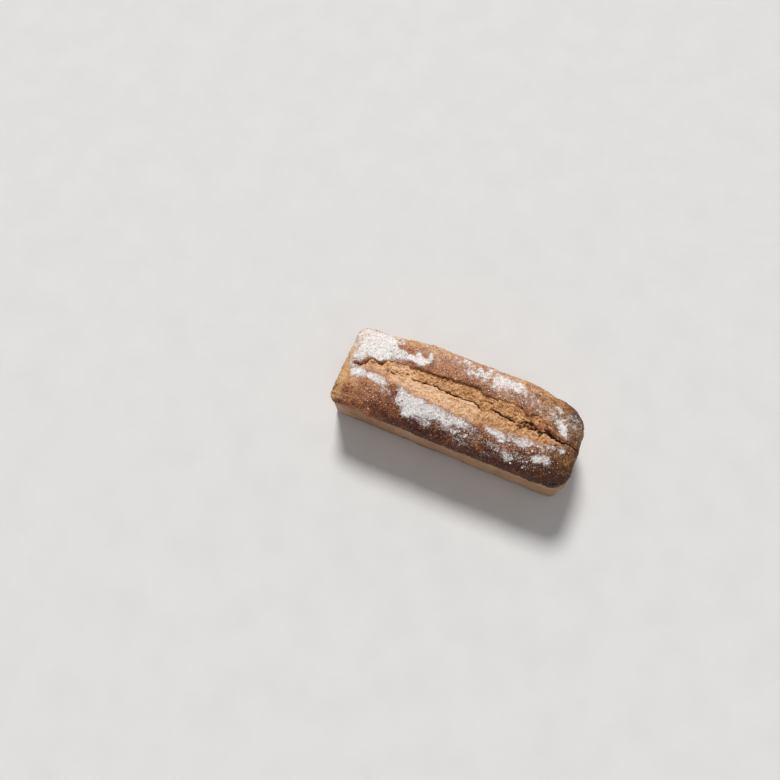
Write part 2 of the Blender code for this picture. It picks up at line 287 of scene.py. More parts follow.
# Flour on the crust: (x, y, half length, half width, turn in degrees, strength)
FLOUR_PATCHES = [
    (-0.127, 0.03, 0.026, 0.022, 0, 0.8), (-0.118, 0.016, 0.017, 0.009, 5, 0.95),
    (-0.105, 0.03, 0.013, 0.009, 0, 0.95), (-0.113, 0.042, 0.022, 0.008, 4, 0.6),
    (-0.135, 0.006, 0.008, 0.012, 0, 0.55), (-0.103, 0.015, 0.01, 0.006, 10, 0.7),
    (-0.132, 0.003, 0.008, 0.005, 0, 0.55), (-0.112, 0.0085, 0.013, 0.005, 0, 0.85),
    (-0.138, -0.008, 0.005, 0.008, 0, 0.35), (-0.088, 0.022, 0.01, 0.006, -5, 0.85),
    (-0.074, 0.024, 0.008, 0.006, 0, 0.9), (-0.06, 0.024, 0.009, 0.006, 8, 0.95),
    (-0.0535, 0.033, 0.0035, 0.005, 0, 0.95), (-0.067, 0.031, 0.003, 0.005, 10, 0.8),
    (-0.095, 0.014, 0.015, 0.005, 0, 0.36),
    (-0.126, -0.016, 0.0105, 0.0082, -5, 0.98), (-0.117, -0.015, 0.006, 0.006, 0, 0.42),
    (-0.102, -0.0165, 0.0125, 0.006, -5, 0.95), (-0.093, -0.02, 0.007, 0.005, 0, 0.38),
    (-0.086, -0.028, 0.007, 0.005, 0, 0.55),
    (-0.069, -0.019, 0.007, 0.005, -30, 0.85), (-0.06, -0.028, 0.011, 0.009, 0, 0.95),
    (-0.052, -0.036, 0.012, 0.011, 0, 0.98), (-0.043, -0.028, 0.013, 0.009, 0, 0.95),
    (-0.035, -0.036, 0.01, 0.008, 0, 0.7), (-0.022, -0.03, 0.012, 0.01, 0, 0.84),
    (-0.006, -0.03, 0.011, 0.009, 0, 0.75), (-0.003, -0.04, 0.01, 0.006, 0, 0.48),
    (0.01, -0.029, 0.01, 0.007, 0, 0.75), (0.021, -0.031, 0.007, 0.005, 0, 0.45),
    (-0.03, -0.045, 0.009, 0.004, 0, 0.55), (0.012, -0.043, 0.01, 0.005, 0, 0.44),
    (0.028, -0.04, 0.01, 0.005, 0, 0.28), (0.036, -0.033, 0.007, 0.005, 0, 0.25),
    (0.046, -0.023, 0.009, 0.006, 0, 0.85), (0.058, -0.027, 0.01, 0.006, -10, 0.85),
    (0.052, -0.019, 0.016, 0.003, 0, 0.45), (0.081, -0.024, 0.011, 0.006, 0, 0.7),
    (0.092, -0.021, 0.009, 0.005, 0, 0.7), (0.07, -0.022, 0.007, 0.004, 0, 0.45),
    (0.114, -0.018, 0.018, 0.006, 8, 0.46), (0.128, -0.012, 0.008, 0.005, 20, 0.28),
    (0.073, -0.047, 0.008, 0.0055, 0, 0.78), (0.062, -0.041, 0.008, 0.004, 0, 0.44),
    (0.112, -0.034, 0.009, 0.006, 0, 0.88), (0.103, -0.036, 0.006, 0.004, 0, 0.65),
    (0.05, -0.041, 0.006, 0.003, 0, 0.27), (0.085, -0.041, 0.006, 0.003, 0, 0.4),
    (0.096, -0.047, 0.01, 0.004, 0, 0.18), (0.056, -0.05, 0.014, 0.0035, 0, 0.22),
    (0.022, -0.0505, 0.018, 0.0035, 0, 0.2),
    (0.03, 0.04, 0.045, 0.016, 0, 0.28), (0.036, 0.036, 0.01, 0.008, 0, 0.66),
    (0.05, 0.04, 0.014, 0.008, 0, 0.66), (0.061, 0.036, 0.006, 0.006, 0, 0.56),
    (0.01, 0.036, 0.012, 0.008, 0, 0.42), (-0.004, 0.032, 0.008, 0.005, 0, 0.34),
    (0.022, 0.043, 0.014, 0.008, 0, 0.4), (-0.015, 0.047, 0.014, 0.007, 0, 0.4),
    (0.045, 0.024, 0.026, 0.006, 0, 0.14),
    (0.075, 0.03, 0.014, 0.009, 0, 0.3), (-0.045, 0.042, 0.05, 0.014, 0, 0.22),
    (0.112, 0.031, 0.005, 0.004, 0, 0.65), (0.121, 0.009, 0.009, 0.005, -35, 0.74),
    (0.117, 0.016, 0.006, 0.006, 0, 0.45), (0.126, 0.003, 0.005, 0.004, 0, 0.6),
    (0.1, 0.02, 0.018, 0.011, 0, 0.4), (0.131, 0.02, 0.013, 0.016, 0, 0.32),
]
PATCH_EDGE = (0.45, 1.45)
PATCH_REACH = 1.6
FLOUR_BREAKUP = ((1.1, 0.0055, 28), (0.9, 0.0022, 28))
FLOUR_WANDER_ALONG = (0.003, 0.009, 16)
FLOUR_WANDER_ACROSS = (0.003, 0.009, 17)

# The steep shoulder holds less flour: the heights where it begins to hold any and holds it all
FLOUR_HOLDS = (0.067, 0.0775)
FLOUR_HOLD_WANDER = (0.005, 0.007, 30)
SHOULDER_LEVEL = 0.078

# Thin dust that lies over whole stretches: (x, y, half length, half width, strength)
DUST_FIELDS = [
    (-0.12, 0.025, 0.045, 0.03, 0.26), (-0.03, 0.035, 0.07, 0.022, 0.28),
    (0.05, 0.035, 0.06, 0.025, 0.34), (-0.01, -0.034, 0.08, 0.017, 0.34),
    (0.08, -0.033, 0.055, 0.018, 0.36), (-0.105, -0.032, 0.04, 0.02, 0.25),
    (0.12, 0.014, 0.028, 0.024, 0.22),
]
DUST_EDGE = (0.5, 1.3)
DUST_EVERYWHERE = 0.08
DUST_KEPT_OFF_CRUMB = 0.85

# Colours, as (position, colour) stops: from pale to dark, but to pale for tin sides and flour
CRUST_STOPS = [(0.0, (0.7, 0.43, 0.2)), (0.2, (0.57, 0.29, 0.122)), (0.38, (0.46, 0.18, 0.072)),
               (0.56, (0.31, 0.106, 0.037)), (0.76, (0.16, 0.045, 0.013)), (1.0, (0.06, 0.013, 0.004))]
GOLDEN_STOPS = [(0.0, (0.72, 0.48, 0.25)), (0.2, (0.59, 0.335, 0.14)), (0.38, (0.45, 0.22, 0.08)),
                (0.56, (0.27, 0.117, 0.028)), (0.76, (0.14, 0.048, 0.007)), (1.0, (0.052, 0.016, 0.004))]
CRUMB_STOPS = [(0.0, (0.89, 0.605, 0.4)), (0.25, (0.79, 0.478, 0.275)), (0.5, (0.63, 0.335, 0.145)),
               (0.75, (0.45, 0.205, 0.07)), (1.0, (0.24, 0.092, 0.026))]
TIN_STOPS = [(0.1, (0.17, 0.075, 0.03)), (0.35, (0.29, 0.145, 0.067)), (0.6, (0.4, 0.225, 0.118)),
             (0.9, (0.5, 0.31, 0.175))]
FLOUR_STOPS = [(0.15, (0.62, 0.49, 0.44)), (0.45, (0.72, 0.63, 0.59)), (0.78, (0.8, 0.765, 0.74)),
               (1.0, (0.92, 0.915, 0.91))]
# The colour of the painted shade in cracks, holes, under the lip and in the groove
PAINTED_SHADE_COLOUR = (0.062, 0.024, 0.007)

# Noise of the colours and of the finest relief, as (size of its spots, detail, roughness, weight)
NOISE_MEAN = 0.5
CRUST_SPOTS = [(0.011, 3.0, 0.6, 0.8), (0.0034, 4.0, 0.75, 1.0), (0.0017, 3.0, 0.7, 1.7)]
CRUST_SPOT_GAIN = (0.64, 0.24)
CRUMB_SPOTS = [(0.011, 3.0, 0.6, 0.8), (0.0018, 3.0, 0.75, 2.4)]
CRUMB_STREAKS = [(0.004, 5.0, 0.7, 2.0)]
CRUMB_STREAK_SCALE = (0.4, 1.0, 1.0)
TIN_SPOTS = [(0.034, 4.0, 0.6, 1.1), (0.0014, 3.0, 0.7, 0.8)]
TIN_STREAKS = [(0.007, 5.0, 0.65, 0.7)]
TIN_STREAK_SCALE = (0.55, 0.55, 1.0)
TIN_EDGE_SPOTS = [(0.008, 4.0, 0.6, 0.22), (0.0018, 2.0, 0.5, 0.12)]
FLOUR_EDGE_SPOTS = [(0.0042, 4.0, 0.65, 1.1)]
FLOUR_GRAIN_SPOTS = [(0.0015, 3.0, 0.75, 3.0)]
FLOUR_TONE_SPOTS = [(0.0065, 3.0, 0.6, 0.9), (0.0026, 4.0, 0.75, 1.5)]
DUST_SPOTS = [(0.0018, 2.0, 0.6, 3.1)]
CRUST_BUMPS = [(0.003, 3.0, 0.6, 1.0), (0.0009, 3.0, 0.6, 0.6)]
TIN_BUMPS = [(0.0045, 4.0, 0.55, 0.55)]

# Pores and pits, as (size, detail, roughness, noise where they begin, where they are full, weight)
FLOUR_PORES = (0.0021, 3.0, 0.7, 0.56, 0.68, 0.4)
CRUMB_PITS = (0.002, 2.0, 0.6, 0.62, 0.74, 0.35)
TIN_COARSE_PORES = (0.003, 1.0, 0.5, 0.66, 0.78, 1.0)
TIN_FINE_PORES = (0.0015, 1.0, 0.5, 0.64, 0.76, 0.6)
TIN_PORE_TONE = 0.35
TIN_PORE_DEPTH = 0.3

# What flour, bare cracks and tin sides cover, as (amount where it begins, where it is full, weight)
FLOUR_VEIL = (0.04, 1.05, 0.78)
FLOUR_SPECKLE = (0.34, 0.8, 0.94)
DUST_SPECKLE = (0.6, 0.8, 0.62)
BARE_IN_CRACKS = (0.15, 0.55, 0.9)
FLOUR_WHITENING = 0.09
FLOUR_BUMP = 0.35
TIN_COVER = (0.4, 0.6, 1.0)

# Roughness, shine and finest relief, and the sockets of a mix node that carry colours
ROUGHNESS = 0.5
FLOUR_ROUGHENING = 0.4
CRUMB_ROUGHENING = 0.3
SPECULAR = 0.32
BUMP_STRENGTH = 0.9
BUMP_DISTANCE = 0.001
MIX_COLOURS_IN = (6, 7)
MIX_COLOUR_OUT = 2

# Mesh: columns along the loaf, rows across it between the guide lines, rings down the side
COLUMNS = 410
ROW_SPANS = (64, 6, 6, 24, 4, 4, 50)
LIP_FOOT_ROW = sum(ROW_SPANS[:5])
LIP_CREST_ROW = sum(ROW_SPANS[:6])
RING_COUNT = 26
FILLET_RINGS = 5
END_CROWDING = 0.085
END_CROWDING_POWER = 10

# Camera, fitted to the photo: it looks at a point of the table beside the loaf
IMAGE_SIZE = 780
FOCAL_PIXELS = 760
SENSOR_WIDTH = 36.0
CAMERA_ELEVATION = math.radians(70.0)
LOAF_YAW = math.radians(-22.91)
CAMERA_DISTANCE = 0.987
LOAF_PLACE = (0.0842, -0.0418)

# Lights, as (name, direction in the camera's level frame, strength, spread in degrees, colour)
WINDOW_LIGHT = ("window", (-0.1, 1.0, 1.2), 2.85, 16.0, (1.0, 0.985, 0.96))
FILL_LIGHT = ("fill", (0.2, -0.8, 1.6), 0.25, 60.0, (1.0, 0.98, 0.96))

# Surroundings by how steeply the view points up, and the pale floor
BACKDROP_STOPS = [(0.25, (0.72, 0.72, 0.72)), (0.45, (0.2, 0.195, 0.2))]
FLOOR_HALF_SIZE = 20.0
FLOOR_STOPS = [(0.3, (0.7, 0.7, 0.7)), (0.7, (0.73, 0.73, 0.725))]
FLOOR_CLOUD_SIZE = 0.05
FLOOR_ROUGHNESS = 0.8

# Loose grains, as (how many, least and largest radius, dark and light colour, slot, seed)
FLOUR_GRAINS = (6500, (0.00012, 0.00055), ((0.74, 0.68, 0.6), (0.86, 0.83, 0.79)), "flour", 8)
FLOUR_CLUMPS = (260, (0.00055, 0.00145), ((0.8, 0.62, 0.48), (0.86, 0.8, 0.74)), "flour", 10)
CRUMB_BITS = (900, (0.0002, 0.0009), ((0.5, 0.27, 0.12), (0.8, 0.52, 0.29)), "crumb", 9)
GRAINS_IN_FLOUR = 0.1
CRUMBS_OUTSIDE_CRACKS = 0.25

# Shape and surface of each grain
GRAIN_SMALLNESS = 3
GRAIN_SQUASH = (0.6, 1.15)
GRAIN_UNEVENNESS = (0.8, 1.2)
GRAIN_RISE = 0.35
GRAIN_TONE_SIZE = 0.0025
GRAIN_TONES = (0.35, 0.65)
GRAIN_BUMP_SIZE = 0.0003
GRAIN_BUMP_STRENGTH = 0.4
GRAIN_BUMP_DISTANCE = 0.0002
GRAIN_ROUGHNESS = 0.9


def smoothstep(start, end, value):
    """Rise smoothly from 0 at start to 1 at end."""
    t = min(1.0, max(0.0, (value - start) / (end - start)))
    return t * t * (3.0 - 2.0 * t)


def mix(low, high, share):
    return low + (high - low) * share


def along(points, x):
    """Read a line of (x, value) points at x, straight between neighbours."""
    if x <= points[0][0]:
        return points[0][1]
    for (x0, value0), (x1, value1) in zip(points, points[1:]):
        if x <= x1:
            return mix(value0, value1, (x - x0) / (x1 - x0))
    return points[-1][1]


def uneven(kind, point):
    """Noise of one kind at a point, of either sign."""
    height, size, salt = kind
    shift = Vector([part * salt for part in SALT_SHIFT])
    return height * noise.noise(Vector(point) / size + shift)


def ridged(kind, point):
    """Noise of one kind with sharp ridges and round valleys."""
    height, size, salt = kind
    ridge = 1.0 - abs(noise.noise(Vector(point) / size + Vector((salt, salt, salt)))) * 2.0
    return height * (ridge - RIDGE_MEAN)


def jagged(line, jags, x):
    """A line of the split with its torn edge."""
    coarse, fine = jags
    return along(line, x) + uneven(coarse, (x, 0.0, 0.0)) + uneven(fine, (x, 0.0, 0.0))


def seam_at(x):
    return jagged(SEAM_LINE, SEAM_JAGS, x)


def lip_at(x):
    return jagged(LIP_LINE, LIP_JAGS, x)


def crown_share(z):
    """0 in the tin, 1 at the widest level of the crown."""
    return smoothstep(TIN_LEVEL, RIM_LEVEL, z)


def fillet_inset(z):
    """How far the rounded bottom edge lies inside the side at height z."""
    below = max(0.0, BASE_FILLET - z)
    return BASE_FILLET - math.sqrt(BASE_FILLET ** 2 - below ** 2)


def back_bulge(x):
    """1 along the middle of the loaf, where the back leans out and the crown bulges over it."""
    return smoothstep(*BACK_BULGE_LEFT, x) * (1.0 - smoothstep(*BACK_BULGE_RIGHT, x))


def half_length(z):
    return BASE_LENGTH / 2 + END_LEAN * z - fillet_inset(z)


def half_width(x, z, is_back):
    if is_back:
        lean = mix(BACK_LEAN_AT_ENDS, SIDE_LEAN, back_bulge(x))
        spread = BACK_SPREAD * back_bulge(x)
    else:
        lean = SIDE_LEAN
        spread = FRONT_SPREAD
    return BASE_WIDTH / 2 + lean * z + spread * crown_share(z) - fillet_inset(z)


def corner_radius(u, v, z):
    name = ("back" if v > 0 else "front") + ("_right" if u > 0 else "_left")
    return mix(TIN_CORNERS[name], CROWN_CORNERS[name], crown_share(z)) - fillet_inset(z)


def plan_point(u, v, z):
    """Place (u, v), each from -1 to 1, in the rounded outline that the loaf has at height z."""
    end = half_length(z)
    x = u * end
    side = half_width(x, z, v > 0)
    y = v * side
    radius = corner_radius(u, v, z)
    past_x = (abs(x) - (end - radius)) / radius
    past_y = (abs(y) - (side - radius)) / radius
    if past_x > 0 and past_y > 0:
        x = math.copysign(end - radius + radius * past_x * math.sqrt(1 - past_y ** 2 / 2), x)
        y = math.copysign(side - radius + radius * past_y * math.sqrt(1 - past_x ** 2 / 2), y)
    return x, y


def arch(t, squareness):
    """Cross profile of the crown: 1 in the middle, upright at the rim."""
    return max(0.0, 1.0 - abs(t) ** squareness) ** (1.0 / ARCH_ROUNDNESS)


def crown_point(u, v):
    """A point of the smooth crown, before the split and the unevenness."""
    x, y = plan_point(u, v, RIM_LEVEL)
    rise = (HEIGHT - RIM_LEVEL) * arch(u, END_SQUARENESS) * arch(v, SIDE_SQUARENESS)
    return Vector((x, y, RIM_LEVEL + rise))


def column_station(index):
    """The u of a column; columns crowd towards the ends, where the crown drops."""
    s = 2.0 * index / COLUMNS - 1.0
    return s * (1.0 + END_CROWDING * (1.0 - abs(s) ** END_CROWDING_POWER))


def row_stations(x):
    """The v of every row at x: shares of the way between the guide lines of the split."""
    seam = seam_at(x)
    gap = along(CRACK_HALF_WIDTH, x)
    foot = max(lip_at(x), seam + gap + ROW_GAP)
    lines = [seam - gap, seam, seam + gap, foot - ROW_GAP / 2, foot, foot + CREST_GAP]
    guides = [-1.0] + [y / half_width(x, RIM_LEVEL, y > 0) for y in lines] + [1.0]
    stations = []
    for number, cells in enumerate(ROW_SPANS):
        for step in range(cells):
            share = step / cells
            if number == 0:
                share = 1.0 - math.cos(share * math.pi / 2)
            elif number == len(ROW_SPANS) - 1:
                share = math.sin(share * math.pi / 2)
            stations.append(mix(guides[number], guides[number + 1], share))
    return stations + [1.0]


def distance_to_line(points, x, y):
    """Shortest distance from (x, y) to a line of points."""
    best = math.inf
    for (x0, y0), (x1, y1) in zip(points, points[1:]):
        dx, dy = x1 - x0, y1 - y0
        share = min(1.0, max(0.0, ((x - x0) * dx + (y - y0) * dy) / (dx * dx + dy * dy)))
        best = min(best, math.hypot(x - x0 - share * dx, y - y0 - share * dy))
    return best


def small_crack_depth(x, y):
    """Depth of the small cracks at (x, y)."""
    depth = 0.0
    wander = uneven(SMALL_CRACK_WANDER, (x, y, 0.0))
    for points, full_depth, half_width_of_crack in SMALL_CRACKS:
        if not points[0][0] - SMALL_CRACK_MARGIN < x < points[-1][0] + SMALL_CRACK_MARGIN:
            continue
        away = distance_to_line(points, x, y + wander)
        depth = max(depth, full_depth * max(0.0, 1.0 - away / half_width_of_crack))
    return depth


def crumb_share(x, y):
    """1 on the torn crumb between its front edge and the lip, 0 on the crust."""
    wander = uneven(CRUMB_WANDER, (x, y, 0.0)) + uneven(CRUMB_FINE_WANDER, (x, y, 0.0))
    front = along(CRUMB_FRONT_LINE, x) + wander
    back = lip_at(x)
    bare = 1.0
    for centre_x, centre_y, length, width, share in CRUST_SCRAPS:
        away = math.hypot((x - centre_x) / length, (y - centre_y + wander) / width)
        bare = min(bare, 1.0 - share * (1.0 - smoothstep(*SCRAP_EDGE, away)))
    drop = along(LIP_DROP, x) + SHARP_LIP_DROPS[1] * smoothstep(*SHARP_LIP_STRETCH, x)
    blend = mix(*CRUMB_BACK_BLENDS, smoothstep(*SHARP_LIP_DROPS, drop))
    behind_front = smoothstep(front - CRUMB_FRONT_BLEND, front + CRUMB_FRONT_BLEND, y)
    inside = behind_front * (1.0 - smoothstep(back, back + blend, y))
    return bare * inside * smoothstep(*CRUMB_BEGINS, x) * (1.0 - smoothstep(*CRUMB_ENDS, x))


def crack_profile(x, y):
    """Depth of the seam's crack at (x, y)."""
    seam = seam_at(x)
    change, length, salt = CRACK_WIDTH_CHANGE
    half = along(CRACK_HALF_WIDTH, x) * (1.0 + change * noise.noise(Vector((x / length, salt, 0.0))))
    across = max(0.0, 1.0 - (abs(y - seam) / half) ** CRACK_STEEPNESS)
    return along(CRACK_DEPTH, x) * across


def hole_relief(x, y):
    """Torn holes, with bits of crumb left standing in them."""
    depth = 0.0
    for centre_x, centre_y, length, width, full_depth in HOLES:
        away = math.hypot((x - centre_x) / length, (y - centre_y) / width)
        if away < HOLE_REACH:
            ragged = away + uneven(HOLE_RAGGED, (x, y, 0.0))
            depth = max(depth, full_depth * (1.0 - smoothstep(*HOLE_EDGE, ragged)))
    bits = uneven(BITS_IN_HOLES, (x, y, 0.0)) * depth / BITS_FULL_DEPTH
    return min(0.0, bits - depth)


def lip_relief(x, y, behind):
    """The crumb drops towards the foot of the lip, and the crust behind rises to its crest."""
    away = abs(y - lip_at(x))
    ahead = -along(LIP_DROP, x) * math.exp(-away / LIP_DROP_REACH)
    after = along(LIP_CREST, x) * math.exp(-away / LIP_CREST_REACH)
    return mix(ahead, after, behind)


def torn_amount(x, y):
    """How dark and rough the crumb is: more behind the seam and to the right."""
    seam = along(SEAM_LINE, x)
    behind = smoothstep(seam - TORN_BLEND_IN_FRONT, seam + TORN_BLEND_BEHIND, y)
    return mix(along(TORN_IN_FRONT, x), along(TORN_BEHIND, x), behind)


def crumb_relief(x, y, torn):
    """Torn crumb: crags, lengthwise fibres and grit, more so where it is torn."""
    crags = uneven(CRAGS, (x, y, 0.0))
    crags += uneven(FINER_CRAGS, (x * FINER_CRAGS_SCALE, y * FINER_CRAGS_SCALE, 0.0))
    bent = y + uneven(FIBRE_BEND, (x, y, 0.0))
    fibres = ridged(FIBRES, (x * FIBRE_STRETCH, bent, 0.0))
    crag_gain, grit_gain = (least + growth * torn for least, growth in (CRAG_GAIN, GRIT_GAIN))
    return crag_gain * (crags + fibres) + grit_gain * uneven(CRUMB_GRIT, (x, y, 0.0))


def crust_relief(point):
    """Unevenness of the crust, slighter on the tin sides and none on the underside."""
    crust = uneven(LUMPS, point) + uneven(PIMPLES, point)
    crust += ridged(BLISTERS, point)
    relief = uneven(SWELL, point) + mix(uneven(TIN_LUMPS, point), crust, crown_share(point.z))
    return relief * smoothstep(0.0, BASE_FILLET, point.z)


def undercut(point):
    """Depth of the groove under the crust cap around the right end."""
    x, y, z = point
    at_end = smoothstep(UNDERCUT_START, half_length(RIM_LEVEL), x)
    at_front = 1.0 - smoothstep(0.0, UNDERCUT_FADE_BACK, y)
    return UNDERCUT_DEPTH * at_end * at_front * max(0.0, 1.0 - abs(z - UNDERCUT_LEVEL) / UNDERCUT_HALF_HEIGHT)


def flour_amount(point):
    """How thickly the flour lies at a point, from 0 to 1; little of it stays on the steep shoulder."""
    x, y, z = point
    bare = 1.0
    place = (x, y, min(0.0, z - SHOULDER_LEVEL))
    x += uneven(FLOUR_WANDER_ALONG, place)
    y += uneven(FLOUR_WANDER_ACROSS, place)
    for centre_x, centre_y, length, width, turn, strength in FLOUR_PATCHES:
        dx, dy = x - centre_x, y - centre_y
        reach = PATCH_REACH * max(length, width)
        if abs(dx) > reach or abs(dy) > reach:
            continue
        angle = math.radians(turn)
        s = (dx * math.cos(angle) + dy * math.sin(angle)) / length
        t = (dy * math.cos(angle) - dx * math.sin(angle)) / width
        bare *= 1.0 - strength * (1.0 - smoothstep(*PATCH_EDGE, math.hypot(s, t)))
    amount = 1.0 - bare
    breakup = sum(uneven(kind, place) for kind in FLOUR_BREAKUP)
    held = smoothstep(*FLOUR_HOLDS, z + uneven(FLOUR_HOLD_WANDER, point))
    return max(0.0, amount + min(amount, 1.0 - amount) * breakup) * held


def dust_amount(x, y):
    """How densely single specks of flour lie at (x, y), from 0 to 1."""
    amount = DUST_EVERYWHERE
    for centre_x, centre_y, length, width, strength in DUST_FIELDS:
        away = math.hypot((x - centre_x) / length, (y - centre_y) / width)
        amount = max(amount, strength * (1.0 - smoothstep(*DUST_EDGE, away)))
    return amount


def bake_and_shade_amount(point):
    """How dark the crust is baked, from 0 (pale) to 1 (almost black), with painted shade at the front corners
    of both ends.
    """
    x, y, z = point
    bake_and_shade = along(BAKE_ACROSS, y) + along(BAKE_ALONG_FRONT, x) * smoothstep(*BAKE_FRONT, y)
    bake_and_shade += along(BAKE_ALONG_BACK, x) * smoothstep(*BAKE_BACK, y)
    # Painted shade: both ends are darker towards the front, the left end most
    front_corner_shade = END_FRONT_SHADE * smoothstep(*END_FRONT, y)
    bake_and_shade = mix(bake_and_shade, LEFT_END_BAKE + LEFT_CORNER_SHADE_GAIN * front_corner_shade, smoothstep(*LEFT_END, x))
    bake_and_shade = mix(bake_and_shade, RIGHT_END_BAKE + front_corner_shade, smoothstep(*RIGHT_END, x))
    bake_and_shade = mix(bake_and_shade, END_WALL_BAKE, END_WALL_SHARE * (1.0 - crown_share(z)))
    return bake_and_shade + uneven(BAKE_CLOUDS, point) + uneven(BAKE_BLOTCHES, point)


def golden_amount(point):
    """1 where the crust is golden, as on both ends, and 0 where it is reddish."""
    x, y, z = point
    ends = max(smoothstep(*LEFT_END, x), smoothstep(*RIGHT_END, x))
    back_right = GOLDEN_BACK_RIGHT * smoothstep(*GOLDEN_BACK_RIGHT_FROM, x)
    back_right *= smoothstep(*GOLDEN_BEHIND_SPLIT, y)
    low = GOLDEN_LOW * (1.0 - crown_share(z))
    back_edge = GOLDEN_BACK_EDGE * smoothstep(*GOLDEN_BACK_EDGE_FROM, y)
    return max(ends, back_right, low, back_edge)


def tin_edge(x, y):
    """Height where the tin ended and the crust begins."""
    sway = uneven(TIN_EDGE_SWAY, (x, y, 0.0)) + uneven(TIN_EDGE_WANDER, (x, y, 0.0))
    return along(TIN_EDGE, x) + sway


def tin_amount(point):
    """How far below the tin's edge a point lies: 0.5 at the edge, 1 well below it, 0 well above."""
    x, y, z = point
    return min(1.0, max(0.0, 0.5 + (tin_edge(x, y) - z) / TIN_EDGE_SPAN))


def make_crown_sheet(sheet):
    """A grid laid over the crown, with its rows along the guide lines of the split."""
    rows = sum(ROW_SPANS)
    bmesh.ops.create_grid(sheet, x_segments=COLUMNS, y_segments=rows, size=1.0)
    square = sheet.verts.layers.float_vector.new("square")
    stations = {}
    for vert in sheet.verts:
        column = round((vert.co.x + 1.0) / 2 * COLUMNS)
        row = round((vert.co.y + 1.0) / 2 * rows)
        u = column_station(column)
        if column not in stations:
            stations[column] = row_stations(u * half_length(RIM_LEVEL))
        v = stations[column][row]
        vert[square] = Vector((u, v, row))
        vert.co = crown_point(u, v)
    return square


def ring_levels():
    """Heights of the rings from the rim to the underside, closer together on the bottom edge."""
    upright = RING_COUNT - FILLET_RINGS
    levels = [mix(RIM_LEVEL, BASE_FILLET, (step + 1) / upright) for step in range(upright)]
    for step in range(FILLET_RINGS):
        turn = (step + 1) / FILLET_RINGS * math.pi / 2
        levels.append(BASE_FILLET * (1.0 - math.sin(turn)))
    return levels


def make_sides(sheet, square):
    """Extrude the rim down ring by ring and close the underside with one flat face."""
    rim = [edge for edge in sheet.edges if edge.is_boundary]
    for z in ring_levels():
        made = bmesh.ops.extrude_edge_only(sheet, edges=rim)["geom"]
        for vert in [item for item in made if isinstance(item, bmesh.types.BMVert)]:
            u, v, _ = vert[square]
            vert.co = Vector((*plan_point(u, v, z), z))
        rim = [item for item in made if isinstance(item, bmesh.types.BMEdge) and item.is_boundary]
    bmesh.ops.edgeloop_fill(sheet, edges=rim)


def behind_lip(row):
    """0 in front of the lip's foot, 1 behind its crest."""
    return min(1.0, max(0.0, (row - LIP_FOOT_ROW) / (LIP_CREST_ROW - LIP_FOOT_ROW)))


def end_crack_stray(point):
    """How far the crack strays sideways where it runs down the right end."""
    return uneven(END_CRACK_WANDER, (point.z, 0.0, 0.0)) * smoothstep(*END_CRACK_STRAYS, point.z)


def lip_shade(x, y, behind):
    """Painted shade right under the lip: how dark its colour is there."""
    under = (1.0 - behind) * math.exp(-abs(y - lip_at(x)) / LIP_SHADE_REACH)
    change = uneven(LIP_SHADE_CHANGE, (x, 0.0, 0.0))
    return under * along(LIP_DROP, x) / FULL_SHADE_DROP * (LIP_SHADE + change)


def lip_overhang(x, y, behind):
    """How far the crust behind the lip leans out over the crumb."""
    past_crest = max(0.0, y - lip_at(x) - CREST_GAP)
    return LIP_OVERHANG * along(LIP_DROP, x) * behind * math.exp(-past_crest / LIP_OVERHANG_REACH)


def shape_crown(point, behind, tin):
    """The relief that only the crown has, and its values for the material."""
    x, y, z = point
    crown = crown_share(z)
    crumb = crumb_share(x, y) * crown
    hole = crown * hole_relief(x, y)
    torn = torn_amount(x, y) + HOLE_TORN * smoothstep(*HOLE_TORN_DEPTHS, -hole)
    seam_crack = crack_profile(x, y + end_crack_stray(point)) * smoothstep(*END_CRACK_FADE, z)
    cracks = max(seam_crack, small_crack_depth(x, y))
    on_crust = 1.0 - smoothstep(*CRUST_FROM_TIN, tin)
    flour = flour_amount(point) * (1.0 - crumb) * on_crust
    relief = crown * (lip_relief(x, y, behind) - cracks) + hole
    relief += crumb * crumb_relief(x, y, torn)
    relief += FLOUR_THICKNESS * flour + flour * uneven(FLOUR_GRIT, point)
    # Painted shade: a darker colour in the cracks, the holes, right under the lip and in the groove under the
    # crust cap
    groove_shade = UNDERCUT_SHADE * undercut(point) / UNDERCUT_DEPTH
    painted_shade = max(smoothstep(*CRACK_SHADE, cracks), smoothstep(*HOLE_SHADE, -hole),
               lip_shade(x, y, behind), groove_shade)
    dust = dust_amount(x, y) * (1.0 - DUST_KEPT_OFF_CRUMB * crumb) * on_crust * crown
    return relief, {"crumb": crumb, "torn": torn, "flour": flour, "dust": dust, "painted_shade": painted_shade}


def add_relief(body, square):
    """Move every point along its normal, and note what lies there for the materials."""
    layers = {name: body.verts.layers.float.new(name) for name in SURFACE_VALUES}
    body.normal_update()
    for vert in body.verts:
        point = vert.co.copy()
        tin = tin_amount(point)
        relief = crust_relief(point) - undercut(point)
        values = {"bake_and_shade": bake_and_shade_amount(point), "golden": golden_amount(point), "tin": tin,
                  "side": along(SIDE_TONE, point.z)}
        if point.z > TIN_LEVEL:
            behind = behind_lip(vert[square].z)
            crown_relief, crown_values = shape_crown(point, behind, tin)
            relief += crown_relief
            values.update(crown_values)
            vert.co.y -= lip_overhang(point.x, point.y, behind)
        for name, value in values.items():
            vert[layers[name]] = value
        vert.co += vert.normal * relief


def fit_to_solid(body):
    """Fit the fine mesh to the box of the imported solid."""
    low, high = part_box("loaf")
    for axis in range(3):
        values = [vert.co[axis] for vert in body.verts]
        start, end = min(values), max(values)
        scale = (high[axis] - low[axis]) / (end - start)
        for vert in body.verts:
            vert.co[axis] = low[axis] + (vert.co[axis] - start) * scale


def add_node(tree, kind, **inputs):
    """Add a node and set its inputs, given as NAME=value with _ for a space."""
    node = tree.nodes.new(kind)
    for name, value in inputs.items():
        node.inputs[name.replace("_", " ")].default_value = value
    return node


